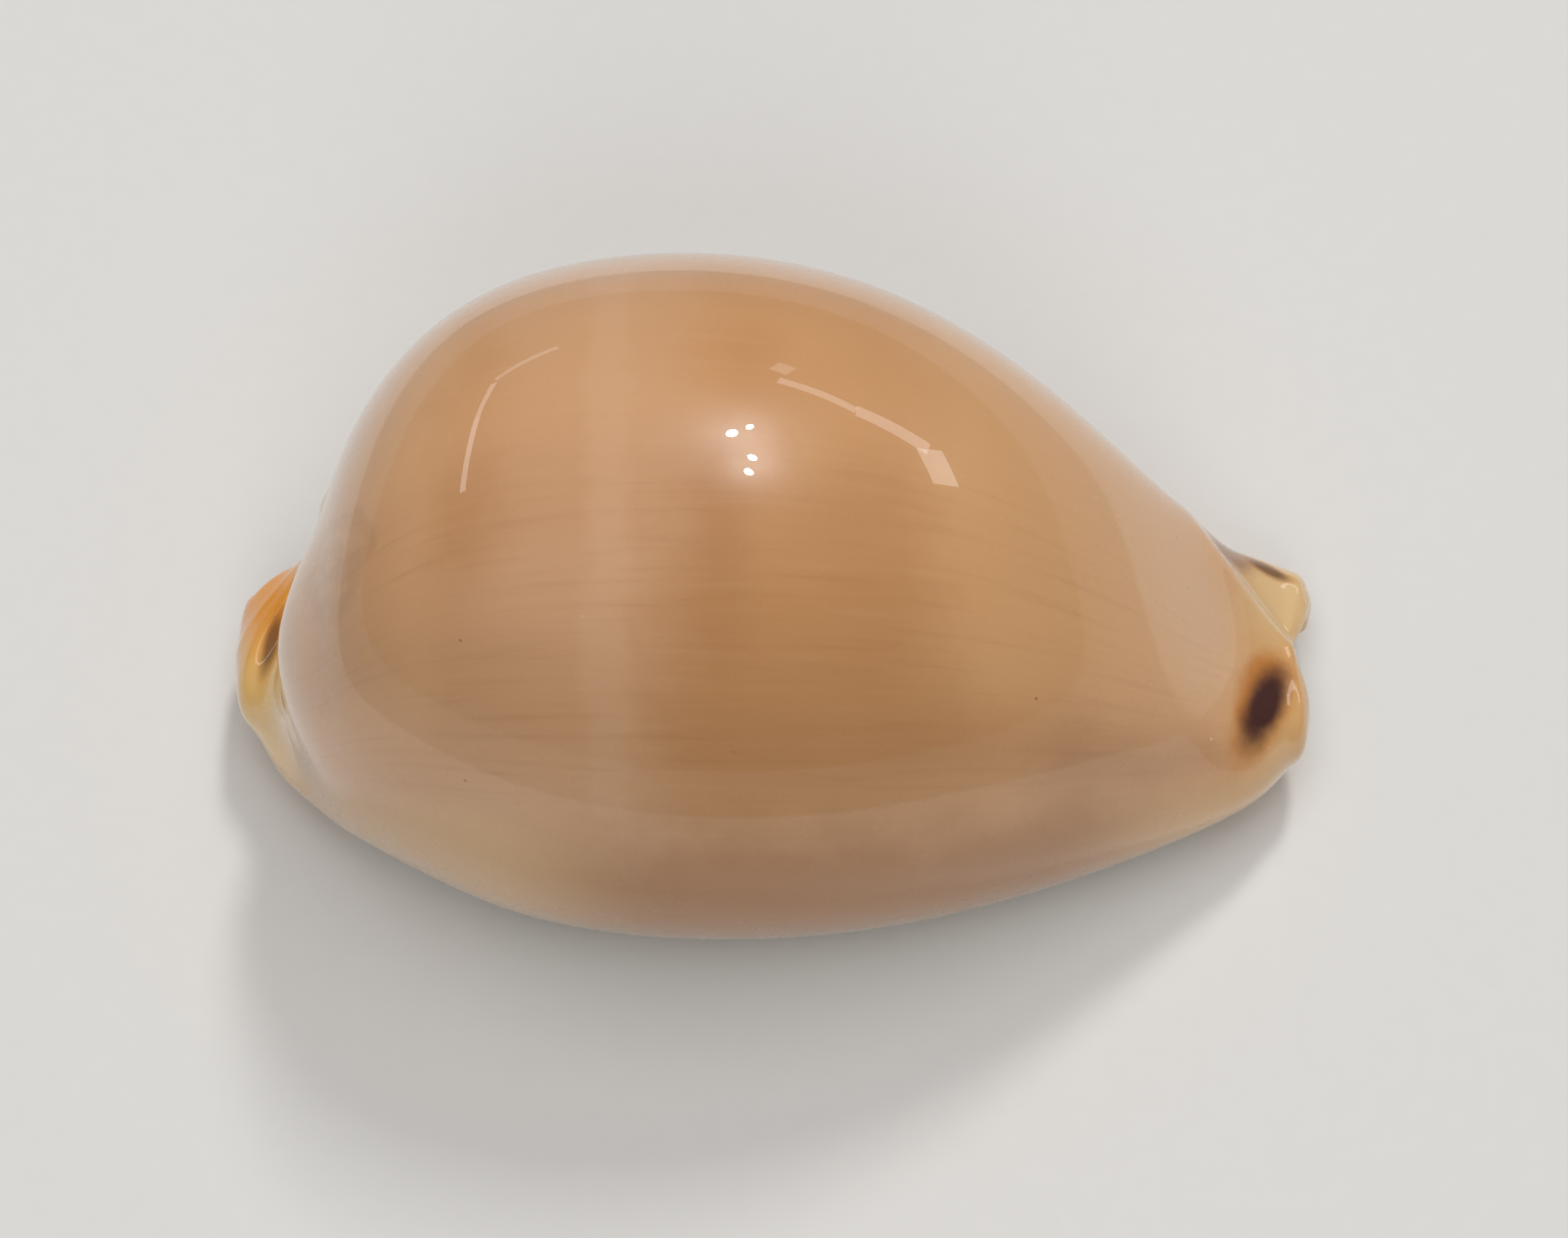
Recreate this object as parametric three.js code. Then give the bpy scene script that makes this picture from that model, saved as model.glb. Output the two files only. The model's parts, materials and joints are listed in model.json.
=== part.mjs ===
// A cowrie shell: one sheet of shell rolled round a hollow, closing to a long toothed slit under it.
// +X is the narrow front end, -Y the outer lip, +Z the back. It rests on Z = 0. Millimetres throughout.
import * as THREE from "three";

// Driving sizes.
const LENGTH = 45;
const WIDTH = 27.3;
const HEIGHT = 23.1;
const WALL = 1; // thickness of the sheet over the back
const SLIT_HALF = 1.05; // half the width of the aperture at mid length
const TEETH = 22; // on each lip
const TOOTH_HEIGHT = 0.3;
const TOOTHED_FROM = -18.2; // the teeth stop short of the two end canals
const TOOTHED_TO = 18.2;
const REST_DEPTH = 0.12; // how much of the belly is worn to a flat

// How finely the form is cut into facets.
const ROWS_PER_TOOTH = 3;
const ROWS_PER_END = 7;
const FLIP_BELOW = 0.8; // a cell is skewed when one diagonal is this much shorter than the other

// Cross frames from the rear end to the front one, drawn for a shell 46 long and fitted to the driving sizes.
// Each: outer-lip margin x, y | ridge x, y, z | columella margin x, y | base z | share of the end section | how far
// forward the inside lies, where the back overhangs.
const RIBS = [
  [-22.2, -4.0, -19.7, 2.7, 5.6, -17.8, 5.0, 1.8, 1.0],
  [-21.4, -5.9, -18.9, 2.0, 5.8, -17.5, 5.7, 1.4, 0.92],
  [-19.7, -7.5, -18.3, -0.9, 8.4, -16.9, 6.5, 1.0, 0.55, 0.8],
  [-18.0, -9.1, -19.7, -4.6, 12.4, -15.4, 7.6, 0.7, 0.12, 1.2],
  [-15.1, -11.1, -17.7, -3.0, 18.2, -13.2, 9.8, 0.3, 0, 0.6],
  [-10.6, -13.7, -12.7, -0.2, 22.0, -10.1, 11.8, 0.1, 0],
  [-3.6, -14.8, -4.1, 0.4, 22.8, -3.2, 13.0, 0, 0],
  [4.2, -14.2, 4.4, 0.4, 21.2, 4.1, 12.0, 0, 0],
  [10.8, -12.2, 11.2, 0.1, 16.8, 10.6, 8.8, 0.2, 0],
  [15.7, -10.0, 16.3, -0.5, 11.0, 15.9, 4.9, 0.6, 0.2],
  [18.7, -8.4, 18.9, -0.8, 7.3, 19.1, 3.4, 1.1, 0.75],
  [20.9, -7.1, 20.8, -1.0, 5.7, 21.4, 3.3, 1.5, 1.0],
  [22.0, -5.7, 21.8, -1.0, 5.0, 22.6, 2.9, 1.8, 1.0],
];

// Half sections, from the lip's inner edge round the base and the margin up to the ridge.
// Body: outer point as a share of half width and of height, extra mm across | inner point off it, in walls.
// End: outer point as shares | inner point in slit widths and height | reach along the shell.
const OUTER_LIP = [
  { body: [0, 0.14, 0, 1.6, 0.3], end: [0, 0.36, 1.02, 0.42, 0.55] },
  { body: [0, 0.02, 0.1, 2.5, 2.2], end: [0, 0.14, 1.05, 0.46, 0.8] },
  { body: [0.16, 0, 1, 0.8, 2.3], end: [0.2, 0, 1.1, 0.5, 0.95] },
  { body: [0.5, 0, 0, 0, 2], end: [0.55, 0, 1.12, 0.54, 1] },
  { body: [0.86, 0.04, 0, -0.9, 1.5], end: [0.98, 0.1, 1.12, 0.58, 0.95] },
  { body: [1.07, 0.28, 0, -1.5, 0.5], end: [1.14, 0.48, 1.05, 0.61, 0.88] },
  { body: [0.99, 0.64, 0, -1.35, -0.5], end: [0.98, 0.88, 0.8, 0.64, 0.74] },
  { body: [0.6, 0.98, 0, -0.7, -1.25], end: [0.52, 1.08, 0.42, 0.66, 0.5] },
];
const COLUMELLA = [
  { body: [0.22, 0.42, 0, 0.8, -1.2], end: [0, 0.36, 1.02, 0.4, 0.45] },
  { body: [0, 0.3, 0.2, 2, -0.4], end: [0, 0.26, 1.03, 0.43, 0.6] },
  { body: [0, 0.13, 0, 2.4, 0.4], end: [0, 0.16, 1.05, 0.46, 0.75] },
  { body: [0, 0.02, 0.1, 2.6, 2], end: [0.02, 0.05, 1.08, 0.49, 0.88] },
  { body: [0.16, 0, 1, 0.8, 2.3], end: [0.28, 0, 1.1, 0.52, 0.97] },
  { body: [0.5, 0, 0, 0, 2], end: [0.6, 0.01, 1.12, 0.55, 1] },
  { body: [0.86, 0.04, 0, -0.9, 1.5], end: [0.98, 0.12, 1.12, 0.58, 0.95] },
  { body: [1.07, 0.28, 0, -1.5, 0.5], end: [1.14, 0.52, 1.05, 0.61, 0.85] },
  { body: [0.99, 0.64, 0, -1.35, -0.5], end: [1, 1, 0.8, 0.64, 0.65] },
  { body: [0.6, 0.98, 0, -0.7, -1.25], end: [0.52, 1.06, 0.42, 0.66, 0.35] },
];
const RIDGE = { outerUp: 1.085, drop: -1.3, endOuterUp: 0.92, endInnerUp: 0.68 };
const SIDE = OUTER_LIP.length + 1 + COLUMELLA.length; // control points on the outside of a ring
const RING = 2 * SIDE;

// Where the loft swells: middle, half sizes, and how far the middle is pushed.
const SWELLS = [
  { at: [-20, -3.8, 9.5], half: [8, 6.5, 8], push: [-1.7, 0, -0.2] }, // the back, out over the rear flange
  { at: [-18, 2.6, 9.8], half: [2.4, 2.4, 2.6], push: [-0.8, 0, 0] }, // the buried spire
];
// The front groove: beyond this line in plan, the columella's tip lies lower than the back.
const GROOVE = { from: [22.5, -1.6], to: [17, 3.6], drop: 1.4, soft: 1.1, low: 1.5, high: 5.2, fade: 2.5 };

const mix = (a, b, t) => a + (b - a) * t;

function smooth(from, to, x) {
  const t = THREE.MathUtils.clamp((x - from) / (to - from), 0, 1);
  return t * t * (3 - 2 * t);
}

// Where the aperture runs at x, and half its width there: it bends to the columella at the rear and gapes in front.
function aperture(x) {
  const y = -2.6 + 6 * smooth(-8, -22, x) + 1.6 * smooth(6, 22, x);
  return { y, half: SLIT_HALF + 0.4 * smooth(2, 18, x) + 0.15 * smooth(-14, -21, x) };
}

// One control point of the outside and its fellow inside, for a row of a half section.
function wallPoints(rib, slit, side, { body, end }) {
  const [lipX, lipY, ridgeX, ridgeY, ridgeZ, colX, colY, baseZ, endShare, inset = 0] = rib;
  const [across, up, extra, inAcross, inUp] = body;
  const [endAcross, endUp, innerGaps, innerUp, reach] = end;
  const half = side < 0 ? slit.y - lipY : colY - slit.y;
  const height = ridgeZ - baseZ;
  const width = half - slit.half;
  const bodyAcross = slit.half + across * width + extra;
  const outAcross = mix(bodyAcross, slit.half + endAcross * width, endShare);
  const outUp = mix(up, endUp, endShare) * height;
  const inAt = mix(bodyAcross + inAcross * WALL, innerGaps * slit.half, endShare);
  const inHigh = mix(up * height + inUp * WALL, innerUp * height, endShare);
  const raised = smooth(0.1, 1, up);
  const back = mix(raised * (1 - 0.4 * across * across), 1 - reach, endShare);
  const x = mix(side < 0 ? lipX : colX, ridgeX, back);
  const lean = raised * (ridgeY - slit.y) * (1 - 0.9 * across);
  return {
    outer: new THREE.Vector3(x, slit.y + side * outAcross + lean, baseZ + outUp),
    inner: new THREE.Vector3(x + inset, slit.y + side * inAt + lean * (1 - endShare), baseZ + inHigh),
  };
}

function ridgePoints(rib, slit) {
  const [, , x, ridgeY, ridgeZ, , , baseZ, endShare, inset = 0] = rib;
  const height = ridgeZ - baseZ;
  const y = mix(ridgeY, slit.y, endShare);
  const outUp = mix(RIDGE.outerUp, RIDGE.endOuterUp, endShare) * height;
  const inUp = mix(RIDGE.outerUp * height + RIDGE.drop * WALL, RIDGE.endInnerUp * height, endShare);
  return {
    outer: new THREE.Vector3(x, y, baseZ + outUp),
    inner: new THREE.Vector3(x + inset, y, baseZ + inUp),
  };
}

// The closed ring of control points of one rib: out over the back from the outer lip, and home inside.
function ribRing(rib) {
  const slit = aperture((rib[0] + rib[5]) / 2);
  const pairs = [
    ...OUTER_LIP.map((row) => wallPoints(rib, slit, -1, row)),
    ridgePoints(rib, slit),
    ...[...COLUMELLA].reverse().map((row) => wallPoints(rib, slit, 1, row)),
  ];
  return [...pairs.map((p) => p.outer), ...pairs.map((p) => p.inner).reverse()];
}

// A ring drawn in to its own mid line and pushed on by its thickness, which rounds off the end of the wall.
function capRing(ring, towards, keep, push) {
  return ring.map((point, i) => {
    const middle = point.clone().add(ring[RING - 1 - i]).multiplyScalar(0.5);
    const halfWall = point.clone().sub(middle);
    const thick = halfWall.length();
    const along = (towards * push * thick) / (1 + 0.5 * thick);
    return middle.addScaledVector(halfWall, keep).add(new THREE.Vector3(along, 0, 0));
  });
}

function endCap(ring, towards) {
  const near = capRing(ring, towards, 0.86, 0.7);
  const edge = capRing(ring, towards, 0, 0.95);
  const beyond = edge.map((point, i) => point.clone().multiplyScalar(2).sub(near[i]));
  return [near, edge, beyond];
}

function controlRows() {
  const rings = RIBS.map(ribRing);
  return [...endCap(rings[0], -1).reverse(), ...rings, ...endCap(rings.at(-1), 1)];
}

// Uniform cubic B-spline: the four weights at a fraction f of a span.
function weights(f) {
  const g = 1 - f;
  return [g ** 3, 3 * f ** 3 - 6 * f ** 2 + 4, -3 * f ** 3 + 3 * f ** 2 + 3 * f + 1, f ** 3].map((w) => w / 6);
}

// The point of the loft at a place along the rows and a place round the ring.
function loftPoint(rows, along, round) {
  const last = rows.length - 4;
  const row = Math.min(Math.floor(along), last);
  const rowWeights = weights(along - row);
  const start = Math.floor(round - 1);
  const ringWeights = weights(round - 1 - start);
  const point = new THREE.Vector3();
  rowWeights.forEach((a, i) =>
    ringWeights.forEach((b, j) => point.addScaledVector(rows[row + i][(start + j + 2 * RING) % RING], a * b)),
  );
  return point;
}

function swell(point) {
  const start = point.clone();
  for (const { at, half, push } of SWELLS) {
    const away = start.clone().sub(new THREE.Vector3(...at)).divide(new THREE.Vector3(...half)).length();
    point.addScaledVector(new THREE.Vector3(...push), smooth(1, 0, away));
  }
}

function lowerBeyondGroove(point) {
  const line = new THREE.Vector2(...GROOVE.to).sub(new THREE.Vector2(...GROOVE.from));
  const length = line.length();
  const place = new THREE.Vector2(point.x, point.y).sub(new THREE.Vector2(...GROOVE.from));
  line.normalize();
  const beyond = smooth(0, GROOVE.soft, place.cross(line));
  const raised = smooth(GROOVE.low, GROOVE.high, point.z);
  point.z -= GROOVE.drop * beyond * raised * smooth(length, length - GROOVE.fade, place.dot(line));
}

// Places round the outside from turn to turn, close together at the lips, and the same places back inside.
function ringStops() {
  const back = Array.from({ length: 17 }, (_, i) => 4 + i / 2);
  const outside = [0, 0.5, 1, 1.5, 2, 3, ...back, 13, 14, 14.5, 15, 16, 17, 18];
  const inside = outside.map((stop) => RING - 1 - stop).reverse();
  return [-0.5, ...outside, SIDE - 0.5, ...inside];
}

// The place along the rows where the outer lip's edge reaches x.
function alongAt(rows, x) {
  let [low, high] = [0, rows.length - 3];
  for (let i = 0; i < 40; i++) {
    const middle = (low + high) / 2;
    if (loftPoint(rows, middle, 0.5).x < x) low = middle;
    else high = middle;
  }
  return (low + high) / 2;
}

// Places along the shell, each with its tooth phase in turns: three to a tooth, and plain rows at the ends.
function rowStops(rows) {
  const steps = TEETH * ROWS_PER_TOOTH;
  const toothed = Array.from({ length: steps + 1 }, (_, i) => ({
    along: alongAt(rows, mix(TOOTHED_FROM, TOOTHED_TO, i / steps)),
    phase: i / ROWS_PER_TOOTH,
    taper: smooth(0, 4, Math.min(i, steps - i)),
    columellaTaper: smooth(3, 10, i),
  }));
  const rear = toothed[0].along;
  const front = toothed.at(-1).along;
  const plain = (from, to) =>
    Array.from({ length: ROWS_PER_END }, (_, i) => ({
      along: mix(from, to, i / ROWS_PER_END),
      phase: 0,
      taper: 0,
      columellaTaper: 0,
    }));
  return [...plain(0, rear), ...toothed, ...plain(rows.length - 3, front).reverse()];
}

// How far a place round the ring belongs to the outer lip (negative) or the columella's edge (positive).
function lipShare(stop) {
  const bump = (at) => Math.max(0, 1 - Math.abs(stop - at) / 1.6);
  return bump(SIDE - 4) - bump(0.9);
}

// Teeth stand out from each lip into the aperture.
function addTooth(point, stop, row) {
  const lip = lipShare(stop);
  const taper = row.taper * (lip > 0 ? row.columellaTaper : 1);
  const rise = TOOTH_HEIGHT * taper * Math.abs(lip) * (0.25 + 0.75 * Math.cos(2 * Math.PI * row.phase));
  point.y -= Math.sign(lip) * 0.8 * rise;
  point.z -= 0.4 * rise;
}

function loftGrid() {
  const rows = controlRows();
  const stops = ringStops();
  return rowStops(rows).map((row) =>
    stops.map((stop) => {
      const point = loftPoint(rows, row.along, stop);
      swell(point);
      lowerBeyondGroove(point);
      addTooth(point, stop, row);
      return point;
    }),
  );
}

// Wears the belly flat, then fits the form to the driving sizes, centred over the origin.
function fitToSize(grid) {
  const points = grid.flat();
  const floor = new THREE.Box3().setFromPoints(points).min.z + REST_DEPTH;
  points.forEach((point) => (point.z = Math.max(point.z, floor)));
  const box = new THREE.Box3().setFromPoints(points);
  const size = box.getSize(new THREE.Vector3());
  const foot = box.getCenter(new THREE.Vector3()).setZ(box.min.z);
  const scale = new THREE.Vector3(LENGTH, WIDTH, HEIGHT).divide(size);
  points.forEach((point) => point.sub(foot).multiply(scale));
}

// Two facets for each cell of the grid, wound so that they face out. A skewed cell is split the other way.
function gridGeometry(grid) {
  const around = grid[0].length;
  const points = grid.flat();
  const index = [];
  for (let i = 0; i + 1 < grid.length; i++)
    for (let j = 0; j < around; j++) {
      const a = i * around + j;
      const b = i * around + ((j + 1) % around);
      const [c, d] = [a + around, b + around];
      const skewed = points[a].distanceTo(points[d]) < FLIP_BELOW * points[b].distanceTo(points[c]);
      index.push(...(skewed ? [a, c, d, a, d, b] : [a, c, b, b, c, d]));
    }
  return new THREE.BufferGeometry().setFromPoints(points).setIndex(index);
}

function shellMesh() {
  const grid = loftGrid();
  fitToSize(grid);
  const enamel = new THREE.MeshStandardMaterial({ color: 0xb08761, roughness: 0.12, metalness: 0 });
  const mesh = new THREE.Mesh(gridGeometry(grid), enamel);
  mesh.name = "shell";
  return mesh;
}

const part = new THREE.Group();
part.add(shellMesh());
export default part;
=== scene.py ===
"""A cowrie shell: its fine surface, toothed lips and glossy enamel, on a pale floor in soft studio light.

The shell is one rolled wall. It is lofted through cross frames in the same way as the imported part, then fitted to
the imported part's box, so both fill the same space. Lengths in the form and in the finishes are in millimetres, and
meshes are in metres.
"""

import json
import logging
import math
from dataclasses import dataclass, field
from enum import Enum
from typing import Any

import bpy
import numpy as np
from mathutils import Matrix, Vector

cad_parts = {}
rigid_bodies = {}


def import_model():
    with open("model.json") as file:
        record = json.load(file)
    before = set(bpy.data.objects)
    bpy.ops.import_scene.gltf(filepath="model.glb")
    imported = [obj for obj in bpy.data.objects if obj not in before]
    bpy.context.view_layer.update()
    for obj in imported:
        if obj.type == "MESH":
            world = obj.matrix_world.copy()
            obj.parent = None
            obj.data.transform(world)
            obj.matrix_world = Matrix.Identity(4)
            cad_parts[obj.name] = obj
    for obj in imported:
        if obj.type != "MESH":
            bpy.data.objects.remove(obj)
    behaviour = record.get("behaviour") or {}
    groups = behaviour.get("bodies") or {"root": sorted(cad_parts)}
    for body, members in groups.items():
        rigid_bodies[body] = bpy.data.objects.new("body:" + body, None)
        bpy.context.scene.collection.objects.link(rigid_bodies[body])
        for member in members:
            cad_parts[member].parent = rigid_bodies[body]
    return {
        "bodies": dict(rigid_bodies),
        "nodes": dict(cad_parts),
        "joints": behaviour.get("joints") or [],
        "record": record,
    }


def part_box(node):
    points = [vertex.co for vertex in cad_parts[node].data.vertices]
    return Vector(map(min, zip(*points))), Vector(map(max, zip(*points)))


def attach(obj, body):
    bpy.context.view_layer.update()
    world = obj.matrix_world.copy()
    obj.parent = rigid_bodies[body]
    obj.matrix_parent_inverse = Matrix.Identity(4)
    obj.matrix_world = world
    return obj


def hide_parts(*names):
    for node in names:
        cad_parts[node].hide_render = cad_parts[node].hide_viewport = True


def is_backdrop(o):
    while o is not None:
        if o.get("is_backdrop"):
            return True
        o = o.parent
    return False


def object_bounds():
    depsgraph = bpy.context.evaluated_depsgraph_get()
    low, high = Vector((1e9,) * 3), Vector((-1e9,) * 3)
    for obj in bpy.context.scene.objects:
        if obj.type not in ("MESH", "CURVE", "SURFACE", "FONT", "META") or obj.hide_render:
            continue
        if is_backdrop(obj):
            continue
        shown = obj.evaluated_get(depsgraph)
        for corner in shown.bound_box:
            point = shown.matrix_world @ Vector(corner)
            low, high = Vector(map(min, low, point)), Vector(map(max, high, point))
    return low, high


log = logging.getLogger("cowrie")

MM = 0.001
NODE = "shell"

Array = np.ndarray
Pair = tuple[float, float]
Triple = tuple[float, float, float]
Colour = Triple


def smooth(low: float, high: float, x: Any) -> Any:
    """Eases from 0 where x is low to 1 where it is high, which may be the smaller, with level ends."""
    t = np.clip((np.asarray(x, float) - low) / (high - low), 0, 1)
    return t * t * (3 - 2 * t)


def mix(a: Any, b: Any, t: Any) -> Any:
    """The value a share t of the way from a to b."""
    return a + (b - a) * t


def srgb(red: int, green: int, blue: int) -> Colour:
    """Linear colour of a display colour whose parts run from 0 to 255."""
    linear = [c / 12.92 if c <= 0.04045 else ((c + 0.055) / 1.055) ** 2.4 for c in (red / 255, green / 255, blue / 255)]
    return (linear[0], linear[1], linear[2])


def put(name: str, data: bpy.types.ID) -> bpy.types.Object:
    """Puts a mesh, a lamp or a camera in the scene.

    Args:
        name: The object's name.
        data: What it holds.

    Returns:
        The object.
    """
    made = bpy.data.objects.new(name, data)
    bpy.context.scene.collection.objects.link(made)
    return made


# ---------------------------------------------------------------- form


class Side(Enum):
    """The two sides of the slit, by the sign of Y."""

    OUTER_LIP = -1
    COLUMELLA = 1


@dataclass(frozen=True)
class Rib:
    """A cross frame of the shell, in mm: where each margin and the ridge lie, and how far forward its inside is."""

    lip_x: float
    lip_y: float
    ridge_x: float
    ridge_y: float
    ridge_z: float
    columella_x: float
    columella_y: float
    base_z: float
    end_share: float = 0.0
    inset: float = 0.0


@dataclass(frozen=True)
class WallStation:
    """A place on a half section: the outer point as shares, and the inner point off it.

    The first five fields hold over the body and the last five at the two ends.
    """

    across: float
    up: float
    extra: float
    in_across: float
    in_up: float
    end_across: float
    end_up: float
    end_in_slits: float
    end_in_up: float
    reach: float


RIBS: tuple[Rib, ...] = (
    Rib(-22.2, -4.0, -19.7, 2.7, 5.6, -17.8, 5.0, 1.8, 1.0),
    Rib(-21.4, -5.9, -18.9, 2.0, 5.8, -17.5, 5.7, 1.4, 0.92),
    Rib(-19.7, -7.5, -18.3, -0.9, 8.4, -16.9, 6.5, 1.0, 0.55, 0.8),
    Rib(-18.0, -9.1, -19.7, -4.6, 12.4, -15.4, 7.6, 0.7, 0.12, 1.2),
    Rib(-15.1, -11.1, -17.7, -3.0, 18.2, -13.2, 9.8, 0.3, 0.0, 0.6),
    Rib(-10.6, -13.7, -12.7, -0.2, 22.0, -10.1, 11.8, 0.1),
    Rib(-3.6, -14.8, -4.1, 0.4, 22.8, -3.2, 13.0, 0.0),
    Rib(4.2, -14.2, 4.4, 0.4, 21.2, 4.1, 12.0, 0.0),
    Rib(10.8, -12.2, 11.2, 0.1, 16.8, 10.6, 8.8, 0.2),
    Rib(15.7, -10.0, 16.3, -0.5, 11.0, 15.9, 4.9, 0.6, 0.2),
    Rib(18.7, -8.4, 18.9, -0.8, 7.3, 19.1, 3.4, 1.1, 0.75),
    Rib(20.9, -7.1, 20.8, -1.0, 5.7, 21.4, 3.3, 1.5, 1.0),
    Rib(22.0, -5.7, 21.8, -1.0, 5.0, 22.6, 2.9, 1.8, 1.0),
)

OUTER_LIP: tuple[WallStation, ...] = (
    WallStation(0, 0.14, 0, 1.6, 0.3, 0, 0.36, 1.02, 0.42, 0.55),
    WallStation(0, 0.02, 0.1, 2.5, 2.2, 0, 0.14, 1.05, 0.46, 0.8),
    WallStation(0.16, 0, 1, 0.8, 2.3, 0.2, 0, 1.1, 0.5, 0.95),
    WallStation(0.5, 0, 0, 0, 2, 0.55, 0, 1.12, 0.54, 1),
    WallStation(0.86, 0.04, 0, -0.9, 1.5, 0.98, 0.1, 1.12, 0.58, 0.95),
    WallStation(1.07, 0.28, 0, -1.5, 0.5, 1.14, 0.48, 1.05, 0.61, 0.88),
    WallStation(0.99, 0.64, 0, -1.35, -0.5, 0.98, 0.88, 0.8, 0.64, 0.74),
    WallStation(0.6, 0.98, 0, -0.7, -1.25, 0.52, 1.08, 0.42, 0.66, 0.5),
)

COLUMELLA: tuple[WallStation, ...] = (
    WallStation(0.22, 0.42, 0, 0.8, -1.2, 0, 0.36, 1.02, 0.4, 0.45),
    WallStation(0, 0.3, 0.2, 2, -0.4, 0, 0.26, 1.03, 0.43, 0.6),
    WallStation(0, 0.13, 0, 2.4, 0.4, 0, 0.16, 1.05, 0.46, 0.75),
    WallStation(0, 0.02, 0.1, 2.6, 2, 0.02, 0.05, 1.08, 0.49, 0.88),
    WallStation(0.16, 0, 1, 0.8, 2.3, 0.28, 0, 1.1, 0.52, 0.97),
    WallStation(0.5, 0, 0, 0, 2, 0.6, 0.01, 1.12, 0.55, 1),
    WallStation(0.86, 0.04, 0, -0.9, 1.5, 0.98, 0.12, 1.12, 0.58, 0.95),
    WallStation(1.07, 0.28, 0, -1.5, 0.5, 1.14, 0.52, 1.05, 0.61, 0.85),
    WallStation(0.99, 0.64, 0, -1.35, -0.5, 1, 1, 0.8, 0.64, 0.65),
    WallStation(0.6, 0.98, 0, -0.7, -1.25, 0.52, 1.06, 0.42, 0.66, 0.35),
)

OUTSIDE = len(OUTER_LIP) + 1 + len(COLUMELLA)  # control points on the outside of a ring
RING = 2 * OUTSIDE
RIDGE_AT = len(OUTER_LIP)  # the ridge's place round a ring
TURN = 0.5  # how far before its first point, and beyond its last, the outside turns into the inside


@dataclass(frozen=True)
class Ease:
    """A change that comes in along the shell.

    Attributes:
        amount: The whole change.
        start: Where it starts, in mm along the shell.
        stop: Where it is whole; it may lie behind start.
    """

    amount: float
    start: float
    stop: float

    def at(self, x: float) -> Any:
        """The change at a place along the shell."""
        return self.amount * smooth(self.start, self.stop, x)


@dataclass(frozen=True)
class Swell:
    """A place where the loft swells out.

    Attributes:
        at: Its middle, in mm.
        half: Its half sizes.
        push: How far its middle is pushed.
    """

    at: Triple
    half: Triple
    push: Triple

    def shift(self, points: Array) -> Array:
        """How far points move, easing to nothing at the swell's edge."""
        away = np.linalg.norm((points - np.array(self.at)) / np.array(self.half), axis=-1)
        return smooth(1, 0, away)[..., None] * np.array(self.push)


@dataclass(frozen=True)
class Groove:
    """A line in plan beyond which the columella's front tip lies lower than the back.

    Attributes:
        start: The line's front end.
        end: Its rear end.
        drop: How far the tip lies lower.
        soft: The width of the step.
        heights: Below the first height nothing drops, and above the second everything does.
        fade: The length over which the step dies out towards its rear end.
    """

    start: Pair = (22.5, -1.6)
    end: Pair = (17.0, 3.6)
    drop: float = 1.4
    soft: float = 0.8
    heights: Pair = (1.5, 5.2)
    fade: float = 2.5

    def fall(self, points: Array) -> Array:
        """How far points drop.

        Args:
            points: The points, in mm.

        Returns:
            The drops.
        """
        line = np.array(self.end) - np.array(self.start)
        length = float(np.hypot(*line))
        line /= length
        place = points[..., :2] - np.array(self.start)
        beyond = smooth(0, self.soft, place[..., 0] * line[1] - place[..., 1] * line[0])
        raised = smooth(*self.heights, points[..., 2])
        return self.drop * beyond * raised * smooth(length, length - self.fade, place @ line)


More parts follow.
